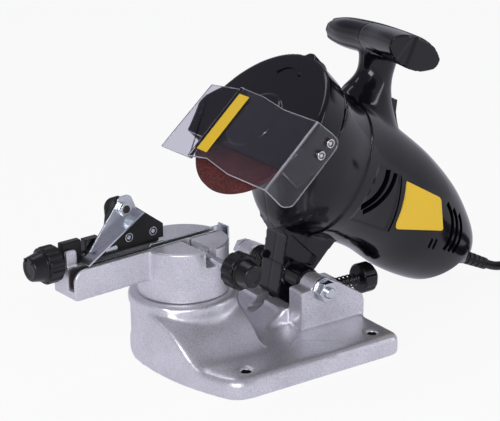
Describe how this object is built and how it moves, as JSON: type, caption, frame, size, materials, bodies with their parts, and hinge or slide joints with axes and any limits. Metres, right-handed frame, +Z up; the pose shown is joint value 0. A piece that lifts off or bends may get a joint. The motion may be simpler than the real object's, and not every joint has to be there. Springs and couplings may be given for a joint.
{
  "type": "chainsaw chain sharpener",
  "caption": "Bench-mounted electric chain sharpener: tilting grinding head with wheel, clear guard and cross grip over a swivelling chain vise on a cast base.",
  "frame": {"origin": "midway between the two bench holes, on the underside of the base", "axes": "+Z up, +X from the vise towards the motor along the bench, +Y away from the user"},
  "size_m": [0.4711, 0.1947, 0.2083],
  "materials": {
    "silver_paint": "satin sparkle paint on die-cast aluminium",
    "zinc_steel": "zinc plated",
    "spring_steel": "oiled",
    "knob_plastic": "satin",
    "black_steel": "satin",
    "black_plastic": "gloss",
    "clear_plastic": "clear",
    "chrome_steel": "polished",
    "yellow_film": "gloss",
    "brass_gear": "machined",
    "bearing_steel": "ground",
    "abrasive": "grit",
    "core_steel": "varnished",
    "copper": "bright",
    "fan_plastic": "moulded",
    "carbon": "dull",
    "cord_rubber": "satin"
  },
  "bodies": {
    "base": {"base_casting": "silver_paint", "pivot_bolt": "zinc_steel", "pivot_washers": "zinc_steel", "pivot_nut": "zinc_steel", "depth_spring": "spring_steel", "power_cord": "cord_rubber", "cord_coil": "cord_rubber", "plug": "cord_rubber", "plug_pins": "zinc_steel"},
    "vise": {"vise_casting": "silver_paint", "fixed_rail": "zinc_steel", "clamp_nut": "zinc_steel", "screw_block": "black_steel", "lock_bolt": "zinc_steel"},
    "lock": {"lock_knob": "knob_plastic", "lock_washer": "zinc_steel"},
    "jaw": {"movable_rail": "zinc_steel"},
    "clamp": {"clamp_rod": "zinc_steel"},
    "clamp_grip": {"clamp_knob": "knob_plastic"},
    "stop": {"stop_carriage": "black_steel", "stop_plate": "black_steel", "stop_rivets": "zinc_steel", "stop_pin": "zinc_steel", "pawl_bolt": "zinc_steel", "pawl_nut": "zinc_steel"},
    "adjuster": {"adjusting_screw": "zinc_steel", "adjusting_knob": "knob_plastic"},
    "pawl": {"pawl": "zinc_steel"},
    "head": {"housing_front": "black_plastic", "housing_back": "black_plastic", "housing_screws": "zinc_steel", "wheel_cover": "black_plastic", "cover_screws": "zinc_steel", "clear_guard": "clear_plastic", "guard_screws": "chrome_steel", "guard_strip": "yellow_film", "badge_plate": "yellow_film", "spindle_bearings": "bearing_steel", "motor_bearings": "bearing_steel", "stator_core": "core_steel", "field_windings": "copper", "brush_holders": "copper", "carbon_brushes": "carbon", "switch_body": "knob_plastic", "strain_relief": "cord_rubber", "head_spring": "spring_steel"},
    "wheel": {"spindle": "zinc_steel", "grinding_wheel": "abrasive", "inner_flange": "zinc_steel", "outer_flange": "zinc_steel", "flange_nut": "zinc_steel", "spindle_gear": "brass_gear"},
    "armature": {"armature_shaft": "bearing_steel", "armature_core": "core_steel", "commutator": "copper", "fan": "fan_plastic"},
    "rocker": {"switch_rocker": "knob_plastic"},
    "depth": {"depth_screw": "zinc_steel"},
    "depth_grip": {"depth_knob": "knob_plastic"}
  },
  "joints": [
    {"name": "head_tilt", "type": "hinge", "parent": "base", "child": "head", "pos_m": [0.0295, 0.074, 0.0415], "axis": [0, -1, 0], "range_deg": [0, 21], "stiffness_Nm_per_rad": 2, "springref_deg": -11.46},
    {"name": "vise_swivel", "type": "hinge", "parent": "base", "child": "vise", "pos_m": [-0.052, 0.074, 0.047], "axis": [0, 0, 1], "range_deg": [-41, 29]},
    {"name": "lock_turn", "type": "hinge", "parent": "vise", "child": "lock", "pos_m": [-0.052, 0.074, 0.03], "axis": [0, 0, 1], "range_deg": [0, 180]},
    {"name": "clamp_turn", "type": "hinge", "parent": "clamp", "child": "clamp_grip", "pos_m": [-0.04523, 0.01438, 0.0755], "axis": [-0.1045, 0.9945, 0], "range_deg": [0, 360]},
    {"name": "clamp_travel", "type": "slide", "parent": "vise", "child": "clamp", "axis": [-0.1045, 0.9945, 0], "range_m": [0, 0.001]},
    {"name": "jaw_travel", "type": "slide", "parent": "vise", "child": "jaw", "axis": [-0.1045, 0.9945, 0], "range_m": [0, 0.001]},
    {"name": "adjuster_turn", "type": "hinge", "parent": "vise", "child": "adjuster", "pos_m": [-0.15049, 0.0735, 0.0845], "axis": [0.9945, 0.1045, 0], "range_deg": [-360, 1800]},
    {"name": "stop_travel", "type": "slide", "parent": "vise", "child": "stop", "axis": [0.9945, 0.1045, 0], "range_m": [-0.001, 0.005]},
    {"name": "pawl_flip", "type": "hinge", "parent": "stop", "child": "pawl", "pos_m": [-0.09618, 0.07338, 0.1115], "axis": [-0.1045, 0.9945, 0], "range_deg": [0, 95]},
    {"name": "depth_turn", "type": "hinge", "parent": "depth", "child": "depth_grip", "pos_m": [0.093, 0.065, 0.0233], "axis": [1, 0, 0], "range_deg": [-1800, 1080]},
    {"name": "depth_travel", "type": "slide", "parent": "base", "child": "depth", "axis": [1, 0, 0], "range_m": [-0.005, 0.003], "deforming": ["depth_spring"]},
    {"name": "armature_spin", "type": "hinge", "parent": "head", "child": "armature", "pos_m": [0.11468, 0.074, 0.07897], "axis": [0.682, 0, -0.7314], "continuous": true},
    {"name": "wheel_spin", "type": "hinge", "parent": "head", "child": "wheel", "pos_m": [0.012, 0.074, 0.1473], "axis": [0.682, 0, -0.7314], "continuous": true},
    {"name": "rocker_press", "type": "hinge", "parent": "head", "child": "rocker", "pos_m": [0.123, 0.074, 0.1395], "axis": [0, -1, 0], "range_deg": [0, 12]}
  ],
  "couplings": [
    {"joint": "clamp_turn", "follows": "clamp_travel", "rad_per_m": 6283.2},
    {"joint": "jaw_travel", "follows": "clamp_travel", "ratio": 1},
    {"joint": "adjuster_turn", "follows": "stop_travel", "rad_per_m": 6283.2},
    {"joint": "depth_turn", "follows": "depth_travel", "rad_per_m": 6283.2},
    {"joint": "wheel_spin", "follows": "armature_spin", "ratio": -0.21277}
  ]
}
